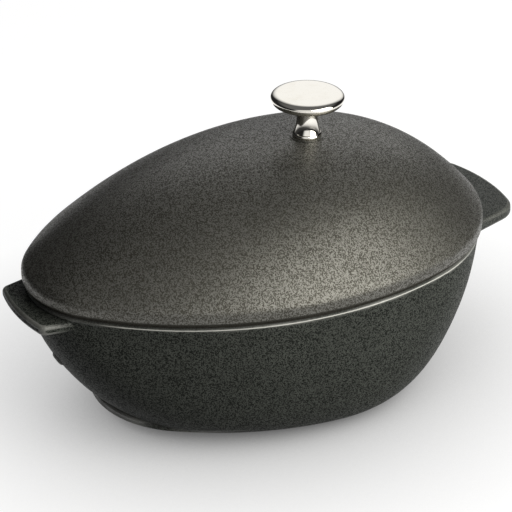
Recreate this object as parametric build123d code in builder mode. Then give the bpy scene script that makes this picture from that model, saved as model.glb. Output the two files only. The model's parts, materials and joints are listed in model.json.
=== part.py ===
"""Mussel pot: an egg-shaped cast iron pot, its domed lid with a round knob, and a strainer that lifts out.

Sizes are in millimetres. +X points to the wide end and +Z up. The origin is on the table, below the
middle of the whole length over the two ears.
"""

import os
from dataclasses import dataclass
from math import atan2, cos, radians, sin

from build123d import *

# Rim of the pot: an egg that is drawn with four tangent arcs, blunt at the wide end
rim_length = 285.4
rim_width = 201.8
rim_height = 93.9
rim_widest_ahead = 16.7
rim_side_radius = 195.7

# Ground outline that the wall springs from, and how fast the wall swells above it
ground_narrow = 67.9
ground_wide = 93.4
ground_half_width = 58.7
ground_widest_ahead = 56.0
ground_side_radius = 153.0
narrow_swell_power = 1.69
wide_swell_power = 1.48
side_swell_power = 2.74
foot_height = 0.5
wall = 3.8
floor = 4.8
rim_round = 1.3
recess_depth = 1.0
recess_border = 12.0

# Nose pad: the ledge at the foot of the narrow end
nose_reach = 104.4
nose_wide = 106.0
nose_half_width = 84.8
nose_widest_ahead = 28.7
nose_side_radius = 179.0
nose_height = 15.5
nose_edge = 11.2
nose_foot_reach = 88.0
nose_foot_wide = 84.0
nose_foot_half_width = 62.0
nose_foot_widest_ahead = 35.0
nose_foot_side_ease = 1.111
nose_round = 2.5

# Cast ears, whose flat tops lie a little below the rim
ear_round = 2.4
ear_root_reach = 100.0
narrow_ear_reach = 11.2
narrow_ear_drop = 2.4
narrow_ear_thickness = 6.2
narrow_ear_tip_width = 54.0
narrow_ear_root_width = 76.0
narrow_ear_bow = 3.5
narrow_ear_corner = 5.0
wide_ear_reach = 29.2
wide_ear_drop = 6.6
wide_ear_thickness = 7.3
wide_ear_tip_width = 75.0
wide_ear_root_width = 97.0
wide_ear_bow = 6.6
wide_ear_corner = 15.0
wide_ear_angle = 4.0

# Small cast boss on the wall below the narrow ear
boss_height = 50.5
boss_radius = 5.0
boss_rise = 1.2
boss_root = 4.0
boss_round = 2.5

# Lid
lid_overhang = 1.7
lid_gap = 2.8
lid_band = 7.5
lid_top = 152.4
apex_ahead = 37.1
dome_power = 2.61
lid_sink = 1.7
lid_wall = 3.8
lid_edge_round = 6.0
lid_lower_round = 1.8
land_inset = 1.8
lip_depth = 5.0
lip_thickness = 2.6
lid_play = 1.0
knob_seat_height = 0.3
screw_seat_radius = 10.0
screw_seat_height = 1.5

# Knob and what holds it
knob_height = 27.5
knob_crown_radius = 16.3
knob_crown = 0.6
knob_plate_radius = 21.6
knob_shoulder = 3.15
knob_lip_inset = 1.5
knob_lip_height = 3.3
knob_plate_height = 8.4
knob_under_curve = 30.0
knob_neck_radius = 6.4
knob_throat = 1.7
knob_waist_radius = 7.8
knob_waist_curve = 34.0
knob_foot_radius = 8.7
knob_foot_height = 2.6
knob_foot_round = 0.5
knob_thread_depth = 13.0
thread_radius = 2.5
thread_play = 0.05
screw_bite = 12.0
screw_hole_play = 0.25
screw_head_radius = 4.8
screw_head_height = 3.0
screw_slot_width = 1.3
screw_slot_depth = 1.4
washer_radius = 7.5
washer_thickness = 1.2
lock_washer_radius = 4.6
lock_washer_thickness = 1.2
lock_washer_split = 1.2

# Strainer
strainer_play = 2.2
strainer_floor = 24.0
strainer_rim = 74.0
sheet = 1.0
bead_radius = 2.2
hole_radius = 5.0
hole_pitch = 23.0
hole_border = 9.0
leg_radius = 5.0
leg_border = 2.0
leg_taper_angle = 4.0

# Folding bails of the strainer
bail_wire = 1.75
bail_half_width = 20.0
bail_reach = 36.0
bail_corner = 9.0
bail_pin_bend = 3.0
bail_drop = 8.0
bail_inset = 11.0
bail_pin_end = 2.0
bail_side_play = 0.3
lug_thickness = 2.0
lug_radius = 4.6
lug_play = 0.08
narrow_bail_angle = 28.0
wide_bail_angle = 20.0

# Where the rim's middle falls, so that the whole length over the ears is centred on the origin
rim_middle = (narrow_ear_reach - wide_ear_reach) / 2
apex_x = rim_middle + apex_ahead


@dataclass(frozen=True)
class Egg:
    """An egg outline, measured from the middle of the rim: its two ends, its width and its side arcs."""

    narrow: float
    wide: float
    half_width: float
    widest: float
    side_radius: float

    def grown(self, distance):
        """Give the outline that lies the distance outside this one."""
        return Egg(
            self.narrow + distance,
            self.wide + distance,
            self.half_width + distance,
            self.widest,
            self.side_radius + distance,
        )

    def toward(self, x, share):
        """Give this outline scaled by the share about a point of the long axis."""
        return Egg(
            self.narrow * share - x * (1 - share),
            self.wide * share + x * (1 - share),
            self.half_width * share,
            self.widest * share + x * (1 - share),
            self.side_radius * share,
        )

    def end_radius(self, reach):
        """Give the radius of an end arc that is tangent to both side arcs."""
        side = self.side_radius
        return (2 * side * self.half_width - self.half_width**2 - reach**2) / (2 * (side - reach))

    def joints(self):
        """Give the wide and the narrow tangent point on the +Y side, and the side arc's middle."""
        centre = (self.widest, self.half_width - self.side_radius)
        angles = []
        for tip, way in ((self.wide, 1), (-self.narrow, -1)):
            radius = self.end_radius((tip - self.widest) * way)
            angles.append(atan2(-centre[1], tip - way * radius - centre[0]))
        angles.insert(1, sum(angles) / 2)
        return [
            (rim_middle + centre[0] + self.side_radius * cos(a), centre[1] + self.side_radius * sin(a))
            for a in angles
        ]

    def face(self, height):
        """Draw the outline as a flat face at a height."""
        (x_wide, y_wide), (x_side, y_side), (x_narrow, y_narrow) = self.joints()
        with BuildSketch(Plane.XY.offset(height)) as outline:
            with BuildLine():
                ThreePointArc((x_wide, -y_wide), (rim_middle + self.wide, 0), (x_wide, y_wide))
                ThreePointArc((x_wide, y_wide), (x_side, y_side), (x_narrow, y_narrow))
                ThreePointArc((x_narrow, y_narrow), (rim_middle - self.narrow, 0), (x_narrow, -y_narrow))
                ThreePointArc((x_narrow, -y_narrow), (x_side, -y_side), (x_wide, -y_wide))
            make_face()
        return outline.sketch


def side_arc(reach, half_width):
    """Give the radius of the side arc that runs from the widest point right to the tip of an end."""
    return (reach**2 + half_width**2) / (2 * half_width)


rim = Egg(rim_length / 2, rim_length / 2, rim_width / 2, rim_widest_ahead, rim_side_radius)
ground = Egg(ground_narrow, ground_wide, ground_half_width, ground_widest_ahead, ground_side_radius)
nose = Egg(nose_reach, nose_wide, nose_half_width, nose_widest_ahead, nose_side_radius)
nose_foot_side = side_arc(nose_foot_reach + nose_foot_widest_ahead, nose_foot_half_width)
nose_foot = Egg(
    nose_foot_reach,
    nose_foot_wide,
    nose_foot_half_width,
    nose_foot_widest_ahead,
    nose_foot_side * nose_foot_side_ease,
)


def swell(low, high, share, power):
    """Go from the low to the high value along a curve that starts flat out and ends upright."""
    return low + (high - low) * (1 - (1 - share) ** power) ** (1 / power)


def outer_egg(height):
    """Give the outline of the pot's outside at a height."""
    share = height / rim_height
    return Egg(
        swell(ground.narrow, rim.narrow, share, narrow_swell_power),
        swell(ground.wide, rim.wide, share, wide_swell_power),
        swell(ground.half_width, rim.half_width, share, side_swell_power),
        swell(ground.widest, rim.widest, share, side_swell_power),
        swell(ground.side_radius, rim.side_radius, share, side_swell_power),
    )


def inner_egg(height):
    """Give the outline of the pot's inside at a height."""
    share = (height - floor) / (rim_height - floor)
    return outer_egg(foot_height + share * (rim_height - foot_height)).grown(-wall)


def heights(low, high, shares):
    """Give the heights that lie at the shares of the way from low to high."""
    return [low + (high - low) * share for share in shares]


wall_shares = (0, 0.04, 0.13, 0.3, 0.53, 0.8, 1)


def ear(reach, drop, thickness, tip_width, root_width, bow, corner_radius, way):
    """Make the plate of one ear, which runs into the wall at its root."""
    tip = rim_middle + way * (rim.wide + reach)
    corner = tip - way * bow
    root = rim_middle + way * ear_root_reach
    with BuildPart() as plate:
        with BuildSketch(Plane.XY.offset(rim_height - drop)):
            with BuildLine():
                ThreePointArc((corner, -tip_width / 2), (tip, 0), (corner, tip_width / 2))
                Polyline(
                    (corner, tip_width / 2),
                    (root, root_width / 2),
                    (root, -root_width / 2),
                    (corner, -tip_width / 2),
                )
            outline = make_face()
            fillet(outline.vertices().filter_by(lambda v: abs(v.X - corner) < 1), corner_radius)
        extrude(amount=-thickness)
        levels = plate.edges().group_by(Axis.Z)
        fillet(levels[0] + levels[-1], ear_round)
    return plate.part


def boss():
    """Make the small boss, which stands square on the wall of the narrow end."""
    below = Vector(-outer_egg(boss_height - boss_radius).narrow, 0, boss_height - boss_radius)
    above = Vector(-outer_egg(boss_height + boss_radius).narrow, 0, boss_height + boss_radius)
    middle = Vector(rim_middle, 0, 0) + (below + above) / 2
    out = (above - below).cross(Vector(0, 1, 0))
    with BuildPart() as button:
        with BuildSketch(Plane(middle, x_dir=(0, 1, 0), z_dir=out).offset(-boss_root)):
            Circle(boss_radius)
        extrude(amount=boss_root + boss_rise)
        fillet(button.faces().sort_by(Axis.X)[0].edges(), boss_round)
    return button.part


# Pot body: wall, floor, nose pad, ears and boss are one casting
with BuildPart() as pot_body:
    loft([outer_egg(z).face(z) for z in heights(foot_height, rim_height, wall_shares)])
    extrude(outer_egg(foot_height).face(foot_height), amount=-foot_height)
    with BuildPart(mode=Mode.PRIVATE) as nose_pad:
        loft([nose_foot.face(0), nose.face(nose_edge)], ruled=True)
        extrude(nose.face(nose_edge), amount=nose_height - nose_edge)
        fillet(nose_pad.edges().group_by(Axis.Z)[-1], nose_round)
    add(nose_pad)
    narrow_plate = (narrow_ear_reach, narrow_ear_drop, narrow_ear_thickness)
    narrow_plan = (narrow_ear_tip_width, narrow_ear_root_width, narrow_ear_bow, narrow_ear_corner)
    add(ear(*narrow_plate, *narrow_plan, -1))
    wide_plate = (wide_ear_reach, wide_ear_drop, wide_ear_thickness)
    wide_plan = (wide_ear_tip_width, wide_ear_root_width, wide_ear_bow, wide_ear_corner)
    hinge = Axis((rim_middle + rim.wide, 0, rim_height - wide_ear_drop), (0, 1, 0))
    add(ear(*wide_plate, *wide_plan, 1).rotate(hinge, -wide_ear_angle))
    add(boss())
    loft([inner_egg(z).face(z) for z in heights(floor, rim_height, wall_shares)], mode=Mode.SUBTRACT)
    extrude(outer_egg(foot_height).grown(-recess_border).face(0), amount=recess_depth, mode=Mode.SUBTRACT)
    fillet(pot_body.edges().group_by(Axis.Z)[-1], rim_round)
pot_body.part.label = "pot_body"

# Lid: a dome that swells from the band round its edge to an apex near the wide end
lid_low = rim_height + lid_gap
dome_low = lid_low + lid_band
lid_edge = rim.grown(lid_overhang)
lip = inner_egg(rim_height).grown(-lid_play)
hollow = lip.grown(-lip_thickness)
knob_seat = lid_top + knob_seat_height
screw_seat = lid_top - lid_wall - screw_seat_height
screw_hole_radius = thread_radius + screw_hole_play
dome_shares = (1, 0.94, 0.82, 0.62, 0.4, 0.12)


def dome(edge, low, top):
    """Make a dome over an outline that levels off round the knob."""
    return loft([edge.toward(apex_ahead, s).face(top - (top - low) * s**dome_power) for s in dome_shares])


with BuildPart() as lid_cavity:
    add(dome(lid_edge.grown(-lid_wall), dome_low - lid_sink, lid_top - lid_wall))
    extrude(lid_cavity.faces().sort_by(Axis.Z)[0], amount=dome_low - lid_low)
    extrude(hollow.face(lid_low), amount=lid_top - lid_low, mode=Mode.INTERSECT)
    extrude(hollow.face(rim_height - lip_depth), amount=lip_depth + lid_gap)

with BuildPart() as lid:
    extrude(lid_edge.face(lid_low), amount=lid_band)
    add(dome(lid_edge, dome_low, lid_top))
    rounded = lid.edges().filter_by(lambda e: abs(e.center().Z - dome_low) < 0.01)
    fillet(rounded, lid_edge_round)
    fillet(lid.edges().group_by(Axis.Z)[0], lid_lower_round)
    extrude(rim.grown(-land_inset).face(rim_height), amount=lid_gap)
    extrude(lip.face(rim_height - lip_depth), amount=lip_depth)
    add(lid_cavity.part, mode=Mode.SUBTRACT)
    with BuildSketch(Plane.XY.offset(screw_seat)):
        with Locations((apex_x, 0)):
            Circle(screw_seat_radius)
    extrude(amount=knob_seat - screw_seat)
    with BuildSketch(Plane.XY.offset(screw_seat)):
        with Locations((apex_x, 0)):
            Circle(screw_hole_radius)
    extrude(amount=knob_seat - screw_seat, mode=Mode.SUBTRACT)
lid.part.label = "lid"


def ring(outer, inner, low, thickness):
    """Make a flat ring about the knob's axis."""
    with BuildPart() as flat_ring:
        with BuildSketch(Plane.XY.offset(low)):
            with Locations((apex_x, 0)):
                Circle(outer)
                Circle(inner, mode=Mode.SUBTRACT)
        extrude(amount=thickness)
    return flat_ring.part


# Knob: one turned piece, a thin round plate on a waisted stem with a foot ring
knob_top = knob_seat + knob_height
shoulder_low = knob_top - knob_shoulder
lip_low = shoulder_low - knob_lip_height
plate_low = knob_top - knob_plate_height
foot_top = knob_seat + knob_foot_height
quarter_turn = 90
with BuildPart() as knob:
    with BuildSketch(Plane((apex_x, 0, 0), x_dir=(1, 0, 0), z_dir=(0, -1, 0))):
        with BuildLine():
            crown_end = (knob_crown_radius, knob_top - knob_crown)
            TangentArc((0, knob_top), crown_end, tangent=(1, 0))
            EllipticalCenterArc(
                (knob_crown_radius, shoulder_low),
                knob_plate_radius - knob_crown_radius,
                knob_shoulder - knob_crown,
                start_angle=0,
                arc_size=quarter_turn,
            )
            lip_end = (knob_plate_radius - knob_lip_inset, lip_low)
            edge = TangentArc((knob_plate_radius, shoulder_low), lip_end, tangent=(0, -1))
            under = RadiusArc(edge @ 1, (knob_neck_radius + knob_throat, plate_low), knob_under_curve)
            throat = RadiusArc(under @ 1, (knob_neck_radius, plate_low - knob_throat), -knob_throat)
            waist = RadiusArc(throat @ 1, (knob_waist_radius, foot_top), -knob_waist_curve)
            foot = ThreePointArc(
                waist @ 1,
                (knob_foot_radius, knob_seat + knob_foot_height / 2),
                (knob_foot_radius - knob_foot_round, knob_seat),
            )
            Polyline(foot @ 1, (0, knob_seat), (0, knob_top))
        make_face()
    revolve(axis=Axis((apex_x, 0, 0), (0, 0, 1)))
    with BuildSketch(Plane.XY.offset(knob_seat)):
        with Locations((apex_x, 0)):
            Circle(thread_radius + thread_play)
    extrude(amount=knob_thread_depth, mode=Mode.SUBTRACT)
knob.part.label = "knob"

# Screw and washers under the lid, which hold the knob
washer = ring(washer_radius, screw_hole_radius, screw_seat - washer_thickness, washer_thickness)
washer.label = "knob_washer"

lock_low = screw_seat - washer_thickness - lock_washer_thickness
with BuildPart() as lock_washer:
    add(ring(lock_washer_radius, screw_hole_radius, lock_low, lock_washer_thickness))
    with Locations((apex_x + lock_washer_radius, 0, lock_low + lock_washer_thickness / 2)):
        Box(lock_washer_radius * 2, lock_washer_split, lock_washer_thickness * 2, mode=Mode.SUBTRACT)
lock_washer.part.label = "knob_lock_washer"

head_low = lock_low - screw_head_height
with BuildPart() as screw:
    with BuildSketch(Plane.XY.offset(head_low)):
        with Locations((apex_x, 0)):
            Circle(screw_head_radius)
    extrude(amount=screw_head_height)
    fillet(screw.edges().group_by(Axis.Z)[0], screw_head_height / 2)
    with BuildSketch(Plane.XY.offset(lock_low)):
        with Locations((apex_x, 0)):
            Circle(thread_radius)
    extrude(amount=knob_seat - lock_low + screw_bite)
    chamfer(screw.edges().group_by(Axis.Z)[-1], thread_radius / 4)
    with Locations((apex_x, 0, head_low + screw_slot_depth / 2)):
        Box(screw_slot_width, screw_head_radius * 3, screw_slot_depth, mode=Mode.SUBTRACT)
screw.part.label = "knob_screw"


# Strainer: a sheet metal basket with the pot's own egg shape, a pierced floor and a beaded rim
def basket_egg(height):
    """Give the outline of the basket's outside at a height."""
    return inner_egg(height).grown(-strainer_play)


basket_shares = (0, 0.3, 0.65, 1)
basket_top = strainer_rim - 2 * bead_radius
with BuildPart() as basket_space:
    levels = heights(strainer_floor + sheet, basket_top, basket_shares)
    loft([basket_egg(z).grown(-sheet).face(z) for z in levels])

bed = basket_egg(strainer_floor).grown(-sheet - hole_border)
bed_face = bed.face(strainer_floor).faces()[0]
columns = int((bed.narrow + bed.wide) / hole_pitch) + 3
rows = int(2 * bed.half_width / hole_pitch) + 3
holes = [
    spot
    for spot in HexLocations(hole_pitch / 2, columns, rows).locations
    if bed_face.is_inside(spot.position + Vector(0, 0, strainer_floor))
]
with BuildPart() as basket:
    loft([basket_egg(z).face(z) for z in heights(strainer_floor, basket_top, basket_shares)])
    add(basket_space.part, mode=Mode.SUBTRACT)
    with BuildSketch(Plane.XY.offset(strainer_floor)):
        with Locations(*holes):
            Circle(hole_radius)
    extrude(amount=sheet, mode=Mode.SUBTRACT)
basket.part.label = "strainer_basket"

# Bead: the rolled edge round the top of the basket
bead_line = basket_egg(basket_top).grown(-sheet / 2).face(basket_top + bead_radius).faces()[0].outer_wire()
with BuildPart() as bead:
    with BuildSketch(Plane(bead_line @ 0, z_dir=bead_line % 0)):
        Circle(bead_radius)
    sweep(path=bead_line)
bead.part.label = "strainer_bead"

# Legs: four drawn cups that stand the basket on the pot's floor, above the broth
leg_outline = inner_egg(floor).grown(-leg_radius - leg_border)
wide_leg, side_middle, narrow_leg = leg_outline.joints()
leg_places = [(x, way * y) for x, y in (wide_leg, narrow_leg) for way in (1, -1)]
with BuildPart() as legs:
    with BuildSketch(Plane.XY.offset(floor)):
        with Locations(*leg_places):
            Circle(leg_radius)
    extrude(amount=strainer_floor - floor, taper=-leg_taper_angle)
legs.part.label = "strainer_legs"


def bail_parts(way, lean, name):
    """Make one folding bail, hung in its two lugs inside an end of the basket."""
    pivot_z = basket_top - bail_drop
    inside = basket_egg(pivot_z).grown(-sheet)
    reach = inside.wide if way > 0 else inside.narrow
    pivot_x = rim_middle + way * (reach - bail_inset)
    down = Vector(-way * sin(radians(lean)), 0, -cos(radians(lean)))
    pivot = Vector(pivot_x, 0, pivot_z)
    lug_low = bail_half_width + bail_pin_bend + bail_side_play
    pin = lug_low + lug_thickness + bail_pin_end
    corners = [
        pivot + Vector(0, -pin, 0),
        pivot + Vector(0, -bail_half_width, 0),
        pivot + Vector(0, -bail_half_width, 0) + down * bail_reach,
        pivot + Vector(0, bail_half_width, 0) + down * bail_reach,
        pivot + Vector(0, bail_half_width, 0),
        pivot + Vector(0, pin, 0),
    ]
    with BuildLine() as path:
        FilletPolyline(*corners, radius=(bail_pin_bend, bail_corner, bail_corner, bail_pin_bend))
    with BuildPart() as bail:
        with BuildSketch(Plane(path.line @ 0, z_dir=path.line % 0)):
            Circle(bail_wire)
        sweep(path=path.line)
    bail.part.label = f"strainer_bail_{name}"
    with BuildPart() as lugs:
        for side in (1, -1):
            with BuildSketch(Plane.XZ.offset(-side * lug_low)):
                with Locations((pivot_x, pivot_z)):
                    Circle(lug_radius)
                with Locations((pivot_x + way * bail_inset, pivot_z)):
                    Rectangle(bail_inset * 2, lug_radius * 2)
                with Locations((pivot_x, pivot_z)):
                    Circle(bail_wire + lug_play, mode=Mode.SUBTRACT)
            extrude(amount=-side * lug_thickness)
        add(basket_space.part, mode=Mode.INTERSECT)
    lugs.part.label = f"strainer_lugs_{name}"
    return bail.part, lugs.part


narrow_parts = bail_parts(-1, narrow_bail_angle, "narrow")
wide_parts = bail_parts(1, wide_bail_angle, "wide")

pieces = [pot_body.part, lid.part, knob.part, screw.part, washer, lock_washer.part]
pieces += [basket.part, bead.part, legs.part, *narrow_parts, *wide_parts]
os.makedirs("parts", exist_ok=True)
for piece in pieces:
    export_step(piece, f"parts/{piece.label}.step")
    print(piece.label, round(piece.volume))
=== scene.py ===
"""Mussel pot: the looks of an egg-shaped cast iron pot, its domed lid and knob, and the strainer inside.

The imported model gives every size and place. This file dresses it: matt enamel on the castings, polished
nickel on the knob, satin sheet and drawn wire on the strainer, and the studio that shows them.
"""

import json
import logging
import math
from dataclasses import dataclass
from enum import Enum
from typing import Sequence, Union

import bmesh
import bpy
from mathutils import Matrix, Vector


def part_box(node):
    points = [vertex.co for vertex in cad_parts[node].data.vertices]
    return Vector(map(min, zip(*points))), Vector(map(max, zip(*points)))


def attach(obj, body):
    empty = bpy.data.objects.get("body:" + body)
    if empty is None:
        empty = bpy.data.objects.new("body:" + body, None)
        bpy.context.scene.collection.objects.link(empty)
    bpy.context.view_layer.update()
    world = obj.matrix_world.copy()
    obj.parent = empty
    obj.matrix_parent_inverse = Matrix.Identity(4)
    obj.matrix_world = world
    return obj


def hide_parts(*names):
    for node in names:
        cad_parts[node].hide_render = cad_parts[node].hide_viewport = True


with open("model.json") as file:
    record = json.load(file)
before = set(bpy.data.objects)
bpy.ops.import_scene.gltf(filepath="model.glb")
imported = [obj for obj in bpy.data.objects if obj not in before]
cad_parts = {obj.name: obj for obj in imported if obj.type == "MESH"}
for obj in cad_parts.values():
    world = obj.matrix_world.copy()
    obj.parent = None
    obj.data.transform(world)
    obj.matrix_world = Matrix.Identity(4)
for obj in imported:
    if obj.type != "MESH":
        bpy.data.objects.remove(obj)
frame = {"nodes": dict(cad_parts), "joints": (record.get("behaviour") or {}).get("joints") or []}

log = logging.getLogger("mussel_pot")

MM = 0.001
TINY = 1e-9
EVEN = 0.5               # the middle of a noise pattern
MIX_SHARE, MIX_LOW, MIX_HIGH, MIX_RESULT = 0, 6, 7, 2      # a colour Mix node's own sockets

Colour = tuple[float, float, float]
Span = tuple[float, float]
Value = Union[float, Sequence[float], "Wire", bpy.types.NodeSocket]


class Slot(Enum):
    """The record's material slots."""

    ENAMEL = "enamel"
    NICKEL = "nickel"
    STEEL = "steel"
    SHEET = "strainer_sheet"
    WIRE = "wire"


class Body(Enum):
    """The bodies that pieces ride on."""

    POT = "pot"
    STRAINER = "strainer"
    NARROW_BAIL = "bail_narrow"
    WIDE_BAIL = "bail_wide"
    LID = "lid"


class Wire:
    """One output socket of a node tree, with the arithmetic of a plain number."""

    def __init__(self, graph: "Graph", socket: bpy.types.NodeSocket) -> None:
        """Wrap an output socket of a tree."""
        self.graph = graph
        self.socket = socket

    def _math(self, operation: str, *values: Value) -> "Wire":
        """Add a Math node to the tree and wrap its result."""
        return self.graph.wire("ShaderNodeMath", {"operation": operation}, list(values))

    def __add__(self, other: Value) -> "Wire":
        """Add."""
        return self._math("ADD", self, other)

    def __radd__(self, other: Value) -> "Wire":
        """Add, with the plain number in front."""
        return self._math("ADD", other, self)

    def __sub__(self, other: Value) -> "Wire":
        """Take away."""
        return self._math("SUBTRACT", self, other)

    def __rsub__(self, other: Value) -> "Wire":
        """Take this away from a plain number."""
        return self._math("SUBTRACT", other, self)

    def __mul__(self, other: Value) -> "Wire":
        """Multiply."""
        return self._math("MULTIPLY", self, other)

    def __rmul__(self, other: Value) -> "Wire":
        """Multiply, with the plain number in front."""
        return self._math("MULTIPLY", other, self)

    def __truediv__(self, other: Value) -> "Wire":
        """Divide."""
        return self._math("DIVIDE", self, other)

    def __rtruediv__(self, other: Value) -> "Wire":
        """Divide a plain number by this."""
        return self._math("DIVIDE", other, self)

    def __pow__(self, other: Value) -> "Wire":
        """Raise to a power."""
        return self._math("POWER", self, other)

    def __abs__(self) -> "Wire":
        """Drop the sign."""
        return self._math("ABSOLUTE", self)

    def __floordiv__(self, other: Value) -> "Wire":
        """Divide and drop the fraction."""
        return self._math("FLOOR", self / other)

    def __mod__(self, other: Value) -> "Wire":
        """Give what a division leaves over."""
        return self._math("MODULO", self, other)

    def at_least(self, other: Value) -> "Wire":
        """Keep the larger of the two."""
        return self._math("MAXIMUM", self, other)

    def at_most(self, other: Value) -> "Wire":
        """Keep the smaller of the two."""
        return self._math("MINIMUM", self, other)

    def between(self, low: float, high: float) -> "Wire":
        """Rise smoothly from 0 at the low value to 1 at the high one.

        Args:
            low: The value that gives 0.
            high: The value that gives 1.

        Returns:
            The eased share.
        """
        return self.graph.wire(
            "ShaderNodeMapRange",
            {"interpolation_type": "SMOOTHSTEP"},
            {"Value": self, "From Min": low, "From Max": high},
        )

    def from_least(self, least: float, low: float, high: float) -> "Wire":
        """Rise smoothly from a least share at the low value to 1 at the high one."""
        return least + self.between(low, high) * (1 - least)


class Graph:
    """A node tree and the ways to add to it, alike for materials and for meshes."""

    def __init__(self, tree: bpy.types.NodeTree) -> None:
        """Empty the tree to build in, and keep it."""
        self.tree = tree
        self.tree.nodes.clear()

    def node(
        self, kind: str, settings: dict | None = None, inputs: dict | list | None = None
    ) -> bpy.types.Node:
        """Add one node.

        Args:
            kind: The node's type.
            settings: Its settings, which are made first.
            inputs: The values or links of its sockets, by name or in order.

        Returns:
            The new node.
        """
        node = self.tree.nodes.new(kind)
        for name, value in (settings or {}).items():
            setattr(node, name, value)
        pairs = inputs.items() if isinstance(inputs, dict) else enumerate(inputs or [])
        for key, value in pairs:
            self._feed(node.inputs[key], value)
        return node

    def wire(
        self, kind: str, settings: dict | None = None, inputs: dict | list | None = None, out: int | str = 0
    ) -> Wire:
        """Add one node and wrap the output with the given name or place."""
        return Wire(self, self.node(kind, settings, inputs).outputs[out])

    def _feed(self, socket: bpy.types.NodeSocket, value: Value) -> None:
        """Link a wire or an output to a socket, or set the socket's own value.

        Args:
            socket: The input socket.
            value: What it gets, or a list of wires where the socket takes several.
        """
        if isinstance(value, Wire):
            self.tree.links.new(value.socket, socket)
        elif socket.is_multi_input:
            for part in value:
                self._feed(socket, part)
        elif isinstance(value, bpy.types.NodeSocket):
            self.tree.links.new(value, socket)
        elif socket.type == "RGBA" and len(value) == 3:
            socket.default_value = (*value, 1.0)
        else:
            socket.default_value = value

    def axes(self, vector: Wire) -> tuple[Wire, Wire, Wire]:
        """Split a vector into its three numbers."""
        parts = self.node("ShaderNodeSeparateXYZ", inputs=[vector])
        return tuple(Wire(self, parts.outputs[i]) for i in range(3))

    def vector(self, x: Value, y: Value, z: Value) -> Wire:
        """Join three numbers into a vector."""
        return self.wire("ShaderNodeCombineXYZ", inputs=[x, y, z])


class Shade(Graph):
    """The node tree of one material or world."""

    def point(self, centre: Vector | None = None) -> Wire:
        """Give the place on the piece, in metres of the object's own frame.

        Args:
            centre: The point to measure from, or the origin.

        Returns:
            The place as a vector.
        """
        place = self.wire("ShaderNodeTexCoord", out="Object")
        if centre is None:
            return place
        return self.wire("ShaderNodeMapping", {"vector_type": "POINT"}, {0: place, 1: tuple(-centre)})

    def mark(self, name: str) -> Wire:
        """Read a number that the mesh carries at its points."""
        return self.wire("ShaderNodeAttribute", {"attribute_name": name}, out="Fac")

    def noise(self, place: Wire, size: float, detail: float = 2.0, rough: float = 0.5) -> Wire:
        """Add a cloudy pattern around 0.5, with clouds of a size in metres and finer layers on them."""
        inputs = {"Vector": place, "Scale": 1 / size, "Detail": detail, "Roughness": rough}
        return self.wire("ShaderNodeTexNoise", {"noise_dimensions": "3D"}, inputs)

    def cells(self, place: Wire, size: float) -> Wire:
        """Add a pattern of cells of a size in metres, each with a chance value from 0 to 1."""
        inputs = {"Vector": place, "Scale": 1 / size}
        return self.wire("ShaderNodeTexVoronoi", {"feature": "F1"}, inputs, "Color")

    def blend(self, share: Value, low: Value, high: Value) -> Wire:
        """Mix two colours.

        Args:
            share: How much of the second colour shows.
            low: The first colour.
            high: The second colour.

        Returns:
            The mixed colour.
        """
        settings = {"data_type": "RGBA", "clamp_factor": True}
        inputs = {MIX_SHARE: share, MIX_LOW: low, MIX_HIGH: high}
        return self.wire("ShaderNodeMix", settings, inputs, MIX_RESULT)

    def bump(self, height: Wire, depth: float, under: Wire | None = None) -> Wire:
        """Turn a height pattern into a normal.

        Args:
            height: The pattern, from 0 to 1.
            depth: The depth of its full range, in metres.
            under: A coarser normal that this one rides on.

        Returns:
            The normal.
        """
        inputs = {"Strength": 1.0, "Distance": depth, "Height": height}
        if under is not None:
            inputs["Normal"] = under
        return self.wire("ShaderNodeBump", inputs=inputs)

    def surface(self, inputs: dict[str, Value]) -> None:
        """Finish a material with one Principled shader."""
        shader = self.node("ShaderNodeBsdfPrincipled", inputs=inputs)
        self.node("ShaderNodeOutputMaterial", inputs=[shader.outputs[0]])


def new_material(name: str) -> tuple[bpy.types.Material, Shade]:
    """Start a material with an empty tree.

    Args:
        name: The material's name.

    Returns:
        The material and its tree.
    """
    material = bpy.data.materials.new(name)
    material.use_nodes = True
    return material, Shade(material.node_tree)


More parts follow.
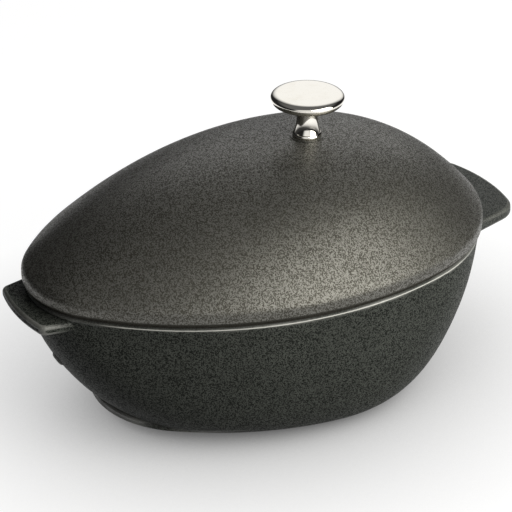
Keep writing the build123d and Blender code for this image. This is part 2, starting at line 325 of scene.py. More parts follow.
class Recipe(Graph):
    """A geometry tree with named sizes, which is run once and leaves a plain mesh."""

    def __init__(self, name: str, sizes: dict[str, float | int]) -> None:
        """Start the tree and name its inputs.

        Args:
            name: The tree's name, and that of the piece it makes.
            sizes: The value of each named input, in metres, radians or whole numbers.
        """
        super().__init__(bpy.data.node_groups.new(name, "GeometryNodeTree"))
        self.name = name
        self.sizes = sizes
        interface = self.tree.interface
        for way in ("INPUT", "OUTPUT"):
            interface.new_socket("Geometry", in_out=way, socket_type="NodeSocketGeometry")
        for label, value in sizes.items():
            kind = "NodeSocketInt" if isinstance(value, int) else "NodeSocketFloat"
            interface.new_socket(label, in_out="INPUT", socket_type=kind)
        self.entry = self.tree.nodes.new("NodeGroupInput")

    def size(self, label: str) -> Wire:
        """Read one named input."""
        return Wire(self, self.entry.outputs[label])

    def start(self) -> Wire:
        """Give the geometry that the tree is run on."""
        return Wire(self, self.entry.outputs["Geometry"])

    def index(self) -> Wire:
        """Give each point's own number."""
        return self.wire("GeometryNodeInputIndex")

    def tube(self, line: Value, radius: Value, sides: int) -> Wire:
        """Sweep a round section along a line.

        Args:
            line: The curve to follow.
            radius: The section's radius.
            sides: How many sides the section has.

        Returns:
            The closed tube.
        """
        section = self.ring(sides, radius)
        inputs = {"Curve": line, "Profile Curve": section, "Fill Caps": True}
        return self.wire("GeometryNodeCurveToMesh", inputs=inputs)

    def ring(self, corners: int, radius: Value) -> Wire:
        """Draw a closed round line."""
        inputs = {"Resolution": corners, "Radius": radius}
        return self.wire("GeometryNodeCurvePrimitiveCircle", inputs=inputs)

    def ball(self, segments: int, radius: Value) -> Wire:
        """Make a ball with half as many rings as segments."""
        inputs = {"Segments": segments, "Rings": segments // 2, "Radius": radius}
        return self.wire("GeometryNodeMeshUVSphere", inputs=inputs)

    def repeat(
        self, places: Value, shape: Value, stretch: Value = (1.0, 1.0, 1.0), pick: Value = True
    ) -> Wire:
        """Put a shape on every picked point, as real geometry.

        Args:
            places: The points.
            shape: The shape that is repeated.
            stretch: Its scale along the three axes.
            pick: Which of the points get it.

        Returns:
            The repeated shape.
        """
        inputs = {"Points": places, "Selection": pick, "Instance": shape, "Scale": stretch}
        copies = self.wire("GeometryNodeInstanceOnPoints", inputs=inputs)
        return self.wire("GeometryNodeRealizeInstances", inputs=[copies])

    def run(
        self, result: Wire, material: bpy.types.Material, places: list[Vector], joined: bool = False
    ) -> bpy.types.Object:
        """Finish the tree, run it on a row of points and keep the result as a plain mesh.

        Args:
            result: The geometry that the tree has made.
            material: The finish of the result.
            places: The points that the tree starts from.
            joined: Whether the points are joined by edges in their order.

        Returns:
            The plain piece.
        """
        real = self.wire("GeometryNodeRealizeInstances", inputs=[result])
        smooth = self.wire("GeometryNodeSetShadeSmooth", inputs={"Geometry": real})
        dressed = self.wire("GeometryNodeSetMaterial", inputs={"Geometry": smooth, "Material": material})
        self.node("NodeGroupOutput", inputs=[dressed])
        seed = bpy.data.meshes.new(f"{self.name}_seed")
        edges = [(i, i + 1) for i in range(len(places) - 1)] if joined else []
        seed.from_pydata([tuple(place) for place in places], edges, [])
        carrier = bpy.data.objects.new(f"{self.name}_seed", seed)
        bpy.context.scene.collection.objects.link(carrier)
        modifier = carrier.modifiers.new(self.name, "NODES")
        modifier.node_group = self.tree
        for item in self.tree.interface.items_tree:
            if item.in_out == "INPUT" and item.name in self.sizes:
                modifier[item.identifier] = self.sizes[item.name]
        graph = bpy.context.evaluated_depsgraph_get()
        mesh = bpy.data.meshes.new_from_object(carrier.evaluated_get(graph), depsgraph=graph)
        carrier.modifiers.clear()
        bpy.data.objects.remove(carrier)
        piece = bpy.data.objects.new(self.name, mesh)
        bpy.context.scene.collection.objects.link(piece)
        return piece


@dataclass
class Skin:
    """What changes over an enamelled surface, while its material is being built."""

    shade: Shade
    colour: Wire
    rough: Wire
    coat: Wire

    def paint(self, share: Value, colour: Colour) -> None:
        """Let a colour show through by a share."""
        self.colour = self.shade.blend(share, self.colour, colour)


@dataclass(frozen=True)
class EnamelFinish:
    """Matt black enamel on cast iron: a pebbled skin of glossier grains in duller hollows.

    Rounded edges, found by the mesh's own roundness, are paler and glossier: partly wear, partly a painted
    highlight. The other marks are made only where their place is given: a handled end, painted shade on an
    underside, a thin painted highlight line round a rim, and scuffs with a painted highlight on a foot ledge.
    """

    colour: Colour = (0.0008, 0.0008, 0.0008)
    pale: Colour = (0.062, 0.062, 0.058)
    patch: float = 34.0 * MM
    patch_least: float = 0.85
    patch_range: Span = (0.3, 0.7)
    rough: float = 0.40
    patch_rough: float = 0.06
    pit_rough: float = 0.20
    grain: float = 0.55 * MM
    grain_share: Span = (0.34, 0.66)
    grain_depth: float = 0.13 * MM
    coarse: float = 0.88 * MM
    coarse_share: float = 0.7
    casting: float = 14.0 * MM
    casting_depth: float = 0.10 * MM
    tint: Colour = (1.0, 0.955, 0.80)
    ior: float = 1.62
    coat: float = 0.60
    coat_ior: float = 1.75
    # rounded edges turn paler: partly wear, partly a painted highlight
    edge: Colour = (0.16, 0.16, 0.15)
    edge_bend: Span = (0.12, 0.21)
    edge_least: float = 0.35
    edge_range: Span = (0.35, 0.65)
    edge_share: float = 0.35
    edge_coat: float = 0.10
    handled_beyond: float | None = None
    handled_ramp: float = 4.0 * MM
    handled_coat: float = 0.25
    # painted shade: below this height the enamel is dark and dull
    painted_shade_below: float | None = None
    painted_shade_ramp: float = 0.7 * MM
    painted_shade_rough: float = 0.4
    # painted highlight: a thin pale line round the rim's outer edge
    rim_highlight: Colour = (0.60, 0.60, 0.57)
    rim_highlight_at: float | None = None
    rim_highlight_half: Span = (0.16 * MM, 0.30 * MM)
    rim_highlight_sway: float = 0.2 * MM
    rim_highlight_start: Span = (-136.0 * MM, -120.0 * MM)
    rim_highlight_end: Span = (74.0 * MM, 98.0 * MM)
    rim_highlight_fade: float = 0.85
    rim_highlight_share: float = 0.9
    # scuffs and a painted highlight: a paler, glossier ledge at the foot of the narrow end
    scuff_and_highlight_below: float | None = None
    scuff_and_highlight_ramp: float = 1.0 * MM
    scuff_and_highlight_end: Span = (-90.0 * MM, -50.0 * MM)
    scuff_and_highlight_range: Span = (0.25, 0.6)
    scuff_and_highlight_share: float = 0.5
    scuff_and_highlight_coat: float = 0.6

    def make(self, name: str) -> bpy.types.Material:
        """Build the material.

        Args:
            name: The material's name.

        Returns:
            The material.
        """
        material, shade = new_material(name)
        place = shade.point()
        x, _, z = shade.axes(place)
        patches = shade.noise(place, self.patch)
        chance = shade.cells(place, self.grain)
        grains = chance.between(*self.grain_share)
        bright = grains * patches.from_least(self.patch_least, *self.patch_range)
        skin = Skin(
            shade,
            colour=shade.blend(bright, self.colour, self.pale),
            rough=self.rough + (patches - EVEN) * self.patch_rough + (1 - grains) * self.pit_rough,
            coat=self.coat * grains,
        )
        self._handle(skin, x)
        self._wear_and_highlight_edges(skin, patches)
        self._paint_shade_under(skin, z)
        self._paint_rim_highlight(skin, x, z, patches)
        self._paint_scuff_and_highlight(skin, x, z, patches)
        cast = shade.bump(shade.noise(place, self.casting), self.casting_depth)
        coarse = shade.noise(place, self.coarse, 0.0)
        grit = coarse * self.coarse_share + chance * (1 - self.coarse_share)
        shade.surface(
            {
                "Base Color": skin.colour,
                "Roughness": skin.rough,
                "IOR": self.ior,
                "Specular Tint": self.tint,
                "Coat Weight": skin.coat,
                "Coat Roughness": self.rough,
                "Coat IOR": self.coat_ior,
                "Normal": shade.bump(grit, self.grain_depth, cast),
            }
        )
        return material

    def _handle(self, skin: Skin, x: Wire) -> None:
        """Make the end that hands hold glossier.

        Args:
            skin: What is changed.
            x: The place along the object.
        """
        if self.handled_beyond is None:
            return
        end = x.between(self.handled_beyond, self.handled_beyond + self.handled_ramp)
        skin.coat = skin.coat + end * self.handled_coat

    def _wear_and_highlight_edges(self, skin: Skin, patches: Wire) -> None:
        """Make rounded edges paler and glossier: partly wear, partly a painted highlight.

        Args:
            skin: What is changed.
            patches: The pattern that makes the wear uneven.
        """
        wear = skin.shade.mark("edge").between(*self.edge_bend)
        wear = wear * patches.from_least(self.edge_least, *self.edge_range)
        skin.paint(wear * self.edge_share, self.edge)
        skin.coat = skin.coat + wear * self.edge_coat

    def _paint_shade_under(self, skin: Skin, z: Wire) -> None:
        """Paint shade below a height: the enamel there is made dark and dull, a painted shadow.

        Args:
            skin: What is changed.
            z: The height.
        """
        if self.painted_shade_below is None:
            return
        under = 1 - z.between(self.painted_shade_below, self.painted_shade_below + self.painted_shade_ramp)
        skin.rough = skin.rough + under * self.painted_shade_rough
        skin.coat = skin.coat * (1 - under)
        skin.paint(under, self.colour)

    def _paint_rim_highlight(self, skin: Skin, x: Wire, z: Wire, patches: Wire) -> None:
        """Paint a thin pale line round the rim: a painted highlight, fading in from the narrow end and mostly
        out toward the wide end.

        Args:
            skin: What is changed.
            x: The place along the object.
            z: The height.
            patches: The pattern that makes the line sway.
        """
        if self.rim_highlight_at is None:
            return
        off = abs(z - self.rim_highlight_at + (patches - EVEN) * self.rim_highlight_sway)
        line = (1 - off.between(*self.rim_highlight_half)) * x.between(*self.rim_highlight_start)
        line = line * (1 - x.between(*self.rim_highlight_end) * self.rim_highlight_fade)
        skin.paint(line * self.rim_highlight_share, self.rim_highlight)

    def _paint_scuff_and_highlight(self, skin: Skin, x: Wire, z: Wire, patches: Wire) -> None:
        """Make the ledge at the foot of the narrow end paler and glossier in patches: scuffs and a painted
        highlight.

        Args:
            skin: What is changed.
            x: The place along the object.
            z: The height.
            patches: The pattern that makes the scuffs uneven.
        """
        if self.scuff_and_highlight_below is None:
            return
        low = 1 - z.between(self.scuff_and_highlight_below - self.scuff_and_highlight_ramp, self.scuff_and_highlight_below)
        scuff_and_highlight = low * (1 - x.between(*self.scuff_and_highlight_end)) * patches.between(*self.scuff_and_highlight_range)
        skin.paint(scuff_and_highlight * self.scuff_and_highlight_share, self.edge)
        skin.coat = skin.coat + scuff_and_highlight * self.scuff_and_highlight_coat


@dataclass(frozen=True)
class MetalFinish:
    """A bare metal: its colour, how dull it is, and the marks that its making left."""

    colour: Colour
    dull: Colour
    rough: float
    mark: float
    mark_depth: float
    stretch: tuple[float, float, float] = (1.0, 1.0, 1.0)
    mark_layers: float = 3.0
    mark_fine: float = 0.6
    mark_range: Span = (0.45, 0.7)
    mark_share: float = 0.3
    mark_rough: float = 0.12
    cloud: float = 14.0 * MM
    cloud_range: Span = (0.45, 0.75)
    cloud_share: float = 0.6
    cloud_rough: float = 0.07

    def make(self, name: str) -> bpy.types.Material:
        """Build the material.

        Args:
            name: The material's name.

        Returns:
            The material.
        """
        material, shade = new_material(name)
        place = shade.point()
        x, y, z = shade.axes(place)
        drawn = shade.vector(x * self.stretch[0], y * self.stretch[1], z * self.stretch[2])
        lines = shade.noise(drawn, self.mark, self.mark_layers, self.mark_fine)
        tarnish = shade.noise(place, self.cloud).between(*self.cloud_range)
        wear = tarnish * self.cloud_share + lines.between(*self.mark_range) * self.mark_share
        colour = shade.blend(wear, self.colour, self.dull)
        rough = self.rough + tarnish * self.cloud_rough + (lines - EVEN) * self.mark_rough
        normal = shade.bump(lines, self.mark_depth)
        shade.surface({"Base Color": colour, "Metallic": 1.0, "Roughness": rough, "Normal": normal})
        return material


@dataclass(frozen=True)
class TurnedFinish:
    """Polished nickel on a turned piece: faint rings about its axis, and a few fine hairlines."""

    axis: Vector
    colour: Colour = (0.93, 0.90, 0.83)
    dull: Colour = (0.80, 0.75, 0.65)
    rough: float = 0.055
    wear_rough: float = 0.05
    ring: float = 0.35 * MM
    ring_fine: float = 0.7
    ring_rough: float = 0.03
    ring_depth: float = 0.003 * MM
    hair: float = 2.6 * MM
    hair_along: tuple[float, float] = (9.0, 4.0)
    hair_across: tuple[float, float] = (-0.3, 0.6)
    hair_range: Span = (0.6, 0.75)
    hair_share: float = 0.3
    hair_depth: float = 0.004 * MM
    cloud: float = 9.0 * MM
    cloud_range: Span = (0.45, 0.80)
    cloud_share: float = 0.35

    def make(self, name: str) -> bpy.types.Material:
        """Build the material.

        Args:
            name: The material's name.

        Returns:
            The material.
        """
        material, shade = new_material(name)
        place = shade.point(self.axis)
        x, y, z = shade.axes(place)
        out = (x * x + y * y) ** 0.5
        rings = shade.noise(shade.vector(out, 0.0, z), self.ring, rough=self.ring_fine)
        clouds = shade.noise(place, self.cloud)
        along, across = (x * way[0] + y * way[1] for way in (self.hair_along, self.hair_across))
        hair = shade.noise(shade.vector(along, across, z), self.hair)
        wear = clouds.between(*self.cloud_range) * self.cloud_share
        wear = wear + hair.between(*self.hair_range) * self.hair_share
        colour = shade.blend(wear, self.colour, self.dull)
        rough = self.rough + wear * self.wear_rough + (rings - EVEN) * self.ring_rough
        normal = shade.bump(rings, self.ring_depth, shade.bump(hair, self.hair_depth))
        shade.surface({"Base Color": colour, "Metallic": 1.0, "Roughness": rough, "Normal": normal})
        return material


@dataclass(frozen=True)
class Casting:
    """A merged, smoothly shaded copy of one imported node, which stands for it."""

    node: str
    body: Body
    slot: Slot
    merge: float = 0.002 * MM
    shortest: float = 0.001 * MM
    crease: float = math.radians(32.0)
    sharpest: float = 0.5
    softenings: int = 2

    def build(self, material: bpy.types.Material) -> bpy.types.Object:
        """Make the copy and dress it.

        Args:
            material: The finish it wears.

        Returns:
            The dressed piece.
        """
        name = f"{self.node}_skin"
        mesh = bpy.data.meshes.new(name)
        shape = bmesh.new()
        shape.from_mesh(frame["nodes"][self.node].data)
        bmesh.ops.remove_doubles(shape, verts=shape.verts, dist=self.merge)
        bmesh.ops.dissolve_degenerate(shape, edges=shape.edges, dist=self.shortest)
        for face in shape.faces:
            face.smooth = True
            face.material_index = 0
        for edge in shape.edges:
            edge.smooth = len(edge.link_faces) == 2 and edge.calc_face_angle(0.0) < self.crease
        self._mark_edges(shape)
        shape.to_mesh(mesh)
        shape.free()
        mesh.materials.append(material)
        piece = bpy.data.objects.new(name, mesh)
        bpy.context.scene.collection.objects.link(piece)
        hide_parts(self.node)
        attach(piece, self.body.value)
        log.info("%s: %d faces", name, len(mesh.polygons))
        return piece

    def _mark_edges(self, shape: bmesh.types.BMesh) -> None:
        """Give each corner of the mesh its roundness per millimetre, as "edge", where the form bulges.

        A third of each triangle belongs to a corner, and a quarter of what the edges turn is its mean bend.

        Args:
            shape: The merged mesh.
        """
        layer = shape.verts.layers.float.new("edge")
        bend = {}
        for vert in shape.verts:
            area = sum(face.calc_area() for face in vert.link_faces) / 3
            hinges = [edge for edge in vert.link_edges if edge.is_contiguous]
            turn = sum(edge.calc_length() * edge.calc_face_angle_signed(0.0) for edge in hinges)
            bend[vert] = min(max(turn / (4 * max(area, TINY)) * MM, 0.0), self.sharpest)
        around = {vert: [edge.other_vert(vert) for edge in vert.link_edges] for vert in bend}
        for _ in range(self.softenings):
            bend = {
                vert: (value + sum(bend[other] for other in around[vert]) / max(len(around[vert]), 1)) / 2
                for vert, value in bend.items()
            }
        for vert, value in bend.items():
            vert[layer] = value


@dataclass(frozen=True)
class Lid:
    """The domed lid, its knob, and the screw and washers that hold the knob."""

    enamel: EnamelFinish
    steel: MetalFinish
    fastening: tuple[str, ...] = ("knob_screw", "knob_washer", "knob_lock_washer")

    def build(self) -> None:
        """Make and dress the lid's pieces."""
        Casting("lid", Body.LID, Slot.ENAMEL).build(self.enamel.make("matt_enamel"))
        low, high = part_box("knob")
        axis = Vector(((low[0] + high[0]) / 2, (low[1] + high[1]) / 2, low[2]))
        Casting("knob", Body.LID, Slot.NICKEL).build(TurnedFinish(axis).make("polished_nickel"))
        steel = self.steel.make("screw_steel")
        for node in self.fastening:
            Casting(node, Body.LID, Slot.STEEL).build(steel)


@dataclass(frozen=True)
class Pot:
    """The pot's one casting: bowl, ears, ledge at the foot and boss."""

    enamel: EnamelFinish

    def build(self) -> None:
        """Make and dress the casting."""
        # the pot's enamel carries a painted highlight line round the rim
        Casting("pot_body", Body.POT, Slot.ENAMEL).build(self.enamel.make("enamel_with_painted_rim_highlight"))


@dataclass(frozen=True)
class HoleLips:
    """The lips pressed up round the holes of the strainer's floor, on the holes' own grid."""

    pitch_x: float = 19.92 * MM
    pitch_y: float = 23.0 * MM
    shift: float = 5.75 * MM
    columns: int = 12
    rows: int = 9
    hole: float = 5.0 * MM
    wire: float = 0.45 * MM
    top: float = 25.0 * MM
    above: float = 15.0 * MM
    below: float = 3.0 * MM
    beside: float = 7.0 * MM
    hole_sides: int = 28
    lip_sides: int = 8

    def build(self, basket: bpy.types.Object, material: bpy.types.Material) -> bpy.types.Object:
        """Lay the grid, keep the places where the basket has a hole, and put a lip round each.

        Args:
            basket: The pierced basket, which tells where the holes are.
            material: The finish of the sheet.

        Returns:
            The lips, as one piece.
        """
        sizes = {"Columns": self.columns, "Rows": self.rows, "Pitch X": self.pitch_x, "Pitch Y": self.pitch_y}
        sizes |= {"Shift": self.shift, "Hole Radius": self.hole, "Lip Radius": self.wire}
        recipe = Recipe("strainer_hole_lips", sizes)
        count = recipe.size("Columns") * recipe.size("Rows")
        column = recipe.index() // recipe.size("Rows")
        row = recipe.index() - column * recipe.size("Rows")
        x = (column - recipe.size("Columns") // 2) * recipe.size("Pitch X")
        y = (row - recipe.size("Rows") // 2) * recipe.size("Pitch Y")
        y = y + recipe.size("Shift") * (1 - (column % 2) * 2)
        inputs = {"Count": count, "Position": recipe.vector(x, y, self.top)}
        spots = recipe.wire("GeometryNodePoints", inputs=inputs)
        target = recipe.wire("GeometryNodeObjectInfo", inputs={"Object": basket}, out="Geometry")
        holed = 1 - self.sheet_at(recipe, target, x, y)
        for way in (-1, 1):
            holed = holed * self.sheet_at(recipe, target, x + way * self.beside, y)
            holed = holed * self.sheet_at(recipe, target, x, y + way * self.beside)
        inputs = {"Geometry": spots, "Selection": 1 - holed}
        kept = recipe.wire("GeometryNodeDeleteGeometry", inputs=inputs)
        line = recipe.ring(self.hole_sides, recipe.size("Hole Radius") + recipe.size("Lip Radius"))
        lip = recipe.tube(line, recipe.size("Lip Radius"), self.lip_sides)
        return recipe.run(recipe.repeat(kept, lip), material, [Vector((0, 0, 0))])

    def sheet_at(self, recipe: Recipe, target: Wire, x: Value, y: Value) -> Wire:
        """Tell where there is sheet under a place.

        Args:
            recipe: The tree to add to.
            target: The basket.
            x: The place along the object.
            y: The place across it.

        Returns:
            1 over sheet, and 0 over a hole.
        """
        inputs = {
            "Target Geometry": target,
            "Source Position": recipe.vector(x, y, self.top + self.above),
            "Ray Direction": (0, 0, -1),
            "Ray Length": self.above + self.below,
        }
        return recipe.wire("GeometryNodeRaycast", inputs=inputs, out="Is Hit")


@dataclass(frozen=True)
class WeldSpots:
    """The spot welds that hold the legs under the strainer's floor, three to a leg."""

    each: int = 3
    ring: float = 2.0 * MM
    spot: float = 1.0 * MM
    flat: float = 0.30
    top: float = 25.0 * MM
    sides: int = 12

    def build(self, legs: bpy.types.Object, material: bpy.types.Material) -> bpy.types.Object:
        """Put a ring of low domes over each leg.

        Args:
            legs: The legs, which tell where the welds go.
            material: The finish of the sheet.

        Returns:
            The welds, as one piece.
        """
        recipe = Recipe("strainer_weld_spots", {"Welds": self.each, "Ring": self.ring, "Spot": self.spot})
        inputs = {"Vertices": recipe.size("Welds"), "Radius": recipe.size("Ring")}
        ring = recipe.wire("GeometryNodeMeshCircle", inputs=inputs)
        points = recipe.repeat(recipe.start(), ring)
        dome = recipe.ball(self.sides, recipe.size("Spot"))
        return recipe.run(recipe.repeat(points, dome, (1, 1, self.flat)), material, self.centres(legs))

    def centres(self, legs: bpy.types.Object) -> list[Vector]:
        """Find the middle of each leg, at the height of the floor's top.

        Args:
            legs: The legs, one in each quarter of the floor.

        Returns:
            The four places.
        """
        corners = [vert.co for vert in legs.data.vertices]
        places = []
        for ahead in (False, True):
            for left in (False, True):
                leg = [corner for corner in corners if (corner.x > 0, corner.y > 0) == (ahead, left)]
                x, y = (sum(corner[axis] for corner in leg) / len(leg) for axis in range(2))
                places.append(Vector((x, y, self.top)))
        return places


@dataclass(frozen=True)
class Bail:
    """A folding bail: one wire, bent four times, with headed ends in the lugs."""

    node: str
    body: Body
    joint: str
    way: int
    lean: float
    wire: float = 1.75 * MM
    half_width: float = 20.0 * MM
    reach: float = 36.0 * MM
    corner: float = 9.0 * MM
    pin_bend: float = 3.0 * MM
    pin: float = 27.3 * MM
    head: float = 2.3 * MM
    flat: float = 0.4
    sides: int = 20
    bend_steps: int = 10

    def build(self, material: bpy.types.Material) -> bpy.types.Object:
        """Bend the wire and head its ends.

        Args:
            material: The finish of the wire.

        Returns:
            The bail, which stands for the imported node.
        """
        sizes = {
            "Wire Radius": self.wire,
            "Corner": self.corner,
            "Pin Bend": self.pin_bend,
            "Head": self.head,
        }
        recipe = Recipe(f"{self.node}_bent", sizes)
        corners = self.corners()
        line = recipe.wire("GeometryNodeMeshToCurve", inputs={"Mesh": recipe.start()})
        # The two corners of the grip lie half a step from the middle, and the pin bends one and a half.
        outer = abs(recipe.index() - (len(corners) - 1) / 2).between(0.8, 1.2)
        bend = recipe.size("Corner") * (1 - outer) + recipe.size("Pin Bend") * outer
        inputs = {"Curve": line, "Count": self.bend_steps, "Radius": bend}
        bent = recipe.wire("GeometryNodeFilletCurve", {"mode": "POLY"}, inputs)
        rod = recipe.tube(bent, recipe.size("Wire Radius"), self.sides)
        ends = recipe.wire("GeometryNodeCurveEndpointSelection")
        head = recipe.ball(self.sides, recipe.size("Head"))
        heads = recipe.repeat(line, head, (1.0, self.flat, 1.0), ends)
        whole = recipe.wire("GeometryNodeJoinGeometry", inputs=[[rod, heads]])
        piece = recipe.run(whole, material, corners, joined=True)
        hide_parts(self.node)
        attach(piece, self.body.value)
        return piece

    def corners(self) -> list[Vector]:
        """Give the wire's corners, from one pin end to the other, as it hangs at rest.

        Returns:
            The six corners.
        """
        pivot = Vector(next(joint["pos_m"] for joint in frame["joints"] if joint["name"] == self.joint))
        down = Vector((-self.way * math.sin(self.lean), 0, -math.cos(self.lean)))
        side = Vector((0, 1, 0))
        pin = self.pin - self.head * self.flat
        return [
            pivot - side * pin,
            pivot - side * self.half_width,
            pivot - side * self.half_width + down * self.reach,
            pivot + side * self.half_width + down * self.reach,
            pivot + side * self.half_width,
            pivot + side * pin,
        ]


@dataclass(frozen=True)
class Strainer:
    """The lift-out strainer with its bead, legs, lugs and two folding bails."""

    sheet: MetalFinish
    wire: MetalFinish
    basket: str = "strainer_basket"
    legs: str = "strainer_legs"
    pressed: tuple[str, ...] = (basket, "strainer_bead", legs, "strainer_lugs_narrow", "strainer_lugs_wide")
    narrow: Bail = Bail(
        "strainer_bail_narrow", Body.NARROW_BAIL, "narrow_bail_swing", way=-1, lean=math.radians(28.0)
    )
    wide: Bail = Bail("strainer_bail_wide", Body.WIDE_BAIL, "wide_bail_swing", way=1, lean=math.radians(20.0))

    def build(self) -> None:
        """Make and dress the strainer's pieces."""
        sheet = self.sheet.make("strainer_sheet")
        pressed = {node: Casting(node, Body.STRAINER, Slot.SHEET).build(sheet) for node in self.pressed}
        lips = HoleLips().build(pressed[self.basket], sheet)
        welds = WeldSpots().build(pressed[self.legs], sheet)
        for piece in (lips, welds):
            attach(piece, Body.STRAINER.value)
            log.info("%s: %d faces", piece.name, len(piece.data.polygons))
        wire = self.wire.make("drawn_wire")
        for bail in (self.narrow, self.wide):
            piece = bail.build(wire)
            log.info("%s: %d faces", piece.name, len(piece.data.polygons))


@dataclass(frozen=True)
class Softbox:
    """A rectangular lamp with an even glow."""

    name: str
    place: tuple[float, float, float]
    aim: tuple[float, float, float]
    width: float
    height: float
    glow: float
    tint: Colour = (1.0, 1.0, 1.0)

    def build(self) -> None:
        """Hang the lamp; its glow is the radiance of its face."""
        lamp = bpy.data.lights.new(self.name, "AREA")
        lamp.shape = "RECTANGLE"
        lamp.size = self.width
        lamp.size_y = self.height
        lamp.energy = self.glow * math.pi * self.width * self.height
        lamp.color = self.tint
        piece = bpy.data.objects.new(self.name, lamp)
        piece.location = self.place
        piece.rotation_mode = "QUATERNION"
        piece.rotation_quaternion = (Vector(self.aim) - Vector(self.place)).to_track_quat("-Z", "Y")
        bpy.context.scene.collection.objects.link(piece)


@dataclass(frozen=True)
class Patch:
    """A soft round patch of light in the surroundings, seen only in mirrors."""

    towards: tuple[float, float, float]
    fades: Span
    glow: float

    def on(self, ray: tuple[Wire, Wire, Wire]) -> Wire:
        """Give the patch's light in the direction of a ray."""
        facing = ray[0] * self.towards[0] + ray[1] * self.towards[1] + ray[2] * self.towards[2]
        return facing.between(*self.fades) * self.glow


@dataclass(frozen=True)
class Studio:
    """The pale floor, the surroundings that the metal mirrors, and the lamp."""

    floor_size: float = 14.0
    paper: Colour = (0.16, 0.16, 0.165)
    glow: float = 0.93
    # painted shadow: how far the floor's glow fades near the pot, by ambient occlusion
    painted_shadow_reach: float = 0.14
    painted_shadow_power: float = 0.9
    painted_shadow_samples: int = 12
    # painted pool of light on the floor, seen only in mirrors
    painted_light_pool: Span = (0.38, 1.15)
    fill: float = 0.12
    dim: float = 0.015
    patches: tuple[Patch, ...] = (
        Patch(towards=(0.56, 0.72, 0.41), fades=(0.84, 0.99), glow=1.0),
        Patch(towards=(-0.42, -0.80, 0.42), fades=(0.68, 0.92), glow=0.85),
        Patch(towards=(0.0, 0.0, 1.0), fades=(0.55, 0.85), glow=0.10),
    )
    key: Softbox = Softbox(
        "key",
        place=(0.45, -1.04, 0.79),
        aim=(0.0, 0.0, 0.06),
        width=1.25,
        height=1.60,
        glow=4.8,
        tint=(1.0, 0.985, 0.92),
    )

    def seen(self, shade: Shade) -> tuple[Wire, Wire]:
        """Tell the rays that show the backdrop, to the eye or in a mirror, from those that only light.

        Args:
            shade: The tree to add to.

        Returns:
            1 for rays to the eye, and 1 for rays to a mirror or through glass.
        """
        path = shade.node("ShaderNodeLightPath")
        camera, glossy, clear = (
            Wire(shade, path.outputs[f"Is {kind} Ray"]) for kind in ("Camera", "Glossy", "Transmission")
        )
        return camera, camera.at_least(glossy).at_least(clear) - camera

    def floor(self) -> None:
        """Lay the floor: pale, with the pot's shadow partly painted, and a painted pool of light in mirrors.
        """
        half = self.floor_size / 2
        mesh = bpy.data.meshes.new("floor")
        corners = [(-half, -half, 0), (half, -half, 0), (half, half, 0), (-half, half, 0)]
        mesh.from_pydata(corners, [], [(0, 1, 2, 3)])
        material, shade = new_material("floor")
        paper = shade.node("ShaderNodeBsdfDiffuse", inputs={"Color": self.paper})
        settings, inputs = {"samples": self.painted_shadow_samples}, {"Distance": self.painted_shadow_reach}
        open_sky = shade.wire("ShaderNodeAmbientOcclusion", settings, inputs, out="AO")
        camera, mirror = self.seen(shade)
        x, y, _ = shade.axes(shade.point())
        painted_light_pool = 1 - ((x * x + y * y) ** 0.5).between(*self.painted_light_pool)
        # the glow fades by ambient occlusion near the pot, a painted contact shadow on top of the paper's
        # real one
        strength = (camera + mirror * painted_light_pool) * self.glow * open_sky ** self.painted_shadow_power
        glow = shade.node("ShaderNodeEmission", inputs={"Color": (1.0, 1.0, 1.0), "Strength": strength})
        both = shade.node("ShaderNodeAddShader", inputs=[paper.outputs[0], glow.outputs[0]])
        shade.node("ShaderNodeOutputMaterial", inputs=[both.outputs[0]])
        mesh.materials.append(material)
        piece = bpy.data.objects.new("floor", mesh)
        bpy.context.scene.collection.objects.link(piece)

    def surroundings(self) -> None:
        """Make the world: white to the eye, patches of light in mirrors, and a low even fill."""
        world = bpy.data.worlds.new("studio")
        world.use_nodes = True
        bpy.context.scene.world = world
        shade = Shade(world.node_tree)
        camera, mirror = self.seen(shade)
        ray = shade.axes(shade.wire("ShaderNodeTexCoord", out="Generated"))
        wall = sum(patch.on(ray) for patch in self.patches) + self.dim
        strength = camera + mirror * wall.at_most(1.0) + (1 - camera - mirror) * self.fill
        back = shade.node("ShaderNodeBackground", inputs={"Color": (1.0, 1.0, 1.0), "Strength": strength})
        shade.node("ShaderNodeOutputWorld", inputs=[back.outputs[0]])

    def build(self) -> None:
        """Set up the floor, the surroundings and the lamp."""
        self.floor()
        self.surroundings()
        self.key.build()
        log.info("studio ready")


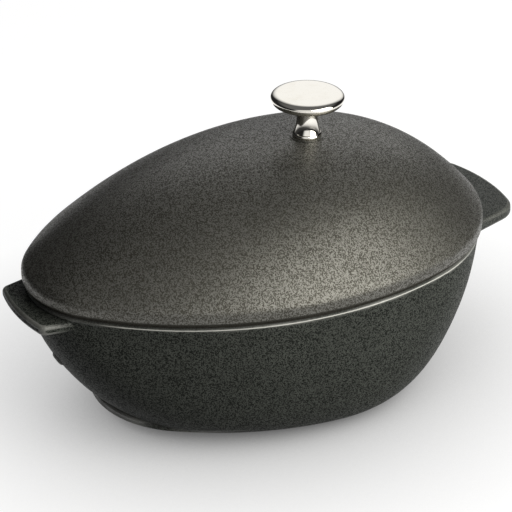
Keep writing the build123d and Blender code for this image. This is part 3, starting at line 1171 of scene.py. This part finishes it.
@dataclass(frozen=True)
class PhotoCamera:
    """The camera at the photograph's angle."""

    azimuth: float = -30.46
    elevation: float = 29.08
    distance: float = 1.2133
    lens: float = 138.3
    sensor: float = 36.0
    shift_right: float = 0.0020
    shift_up: float = 0.0713
    about: tuple[float, float, float] = (-0.009, 0.0, 0.0)
    near: float = 0.05
    far: float = 50.0

    def build(self) -> None:
        """Place the camera and make it the scene's own."""
        turn, rise = math.radians(self.azimuth), math.radians(self.elevation)
        right = Vector((math.cos(turn), math.sin(turn), 0))
        back = Vector((math.sin(turn) * math.cos(rise), -math.cos(turn) * math.cos(rise), math.sin(rise)))
        up = back.cross(right)
        data = bpy.data.cameras.new("photo_camera")
        data.lens = self.lens
        data.sensor_width = self.sensor
        data.clip_start = self.near
        data.clip_end = self.far
        camera = bpy.data.objects.new("photo_camera", data)
        shift = right * self.shift_right + up * self.shift_up
        camera.location = Vector(self.about) + back * self.distance + shift
        camera.rotation_mode = "QUATERNION"
        camera.rotation_quaternion = (-back).to_track_quat("-Z", "Y")
        bpy.context.scene.collection.objects.link(camera)
        bpy.context.scene.camera = camera
        log.info("camera at %s", tuple(round(metres, 3) for metres in camera.location))


def main() -> None:
    """Build the studio, the camera and the pot's sub-assemblies in order."""
    logging.basicConfig(level=logging.INFO, format="%(name)s: %(message)s")
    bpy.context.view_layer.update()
    bpy.context.scene.view_settings.view_transform = "Standard"
    PhotoCamera().build()
    Studio().build()
    rimmed = EnamelFinish(
        colour=(0.012, 0.013, 0.012),
        pale=(0.062, 0.067, 0.060),
        tint=(0.94, 1.0, 0.92),
        ior=1.10,
        coat=0.09,
        # pale edges: partly wear, partly painted highlight lines along the ears
        edge=(0.34, 0.34, 0.32),
        edge_coat=0.55,
        handled_beyond=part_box("pot_body")[1][0] - 40.0 * MM,
        # a painted highlight line round the rim
        rim_highlight_at=93.0 * MM,
        # scuffs and a painted highlight on the foot ledge
        scuff_and_highlight_below=15.8 * MM,
    )
    # the lid's lowest part gets painted shade
    matt = EnamelFinish(painted_shade_below=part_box("lid")[0][2] + 9.0 * MM)
    steel = MetalFinish(
        colour=(0.56, 0.55, 0.53),
        dull=(0.42, 0.41, 0.39),
        rough=0.32,
        mark=1.2 * MM,
        mark_depth=0.02 * MM,
    )
    sheet = MetalFinish(
        colour=(0.58, 0.57, 0.55),
        dull=(0.46, 0.45, 0.43),
        rough=0.40,
        mark=2.0 * MM,
        mark_depth=0.01 * MM,
        stretch=(1.0, 14.0, 14.0),
    )
    wire = MetalFinish(
        colour=(0.62, 0.61, 0.59),
        dull=(0.46, 0.45, 0.43),
        rough=0.26,
        mark=1.5 * MM,
        mark_depth=0.01 * MM,
    )
    Pot(rimmed).build()
    Lid(matt, steel).build()
    Strainer(sheet, wire).build()


if __name__ == "__main__":
    main()
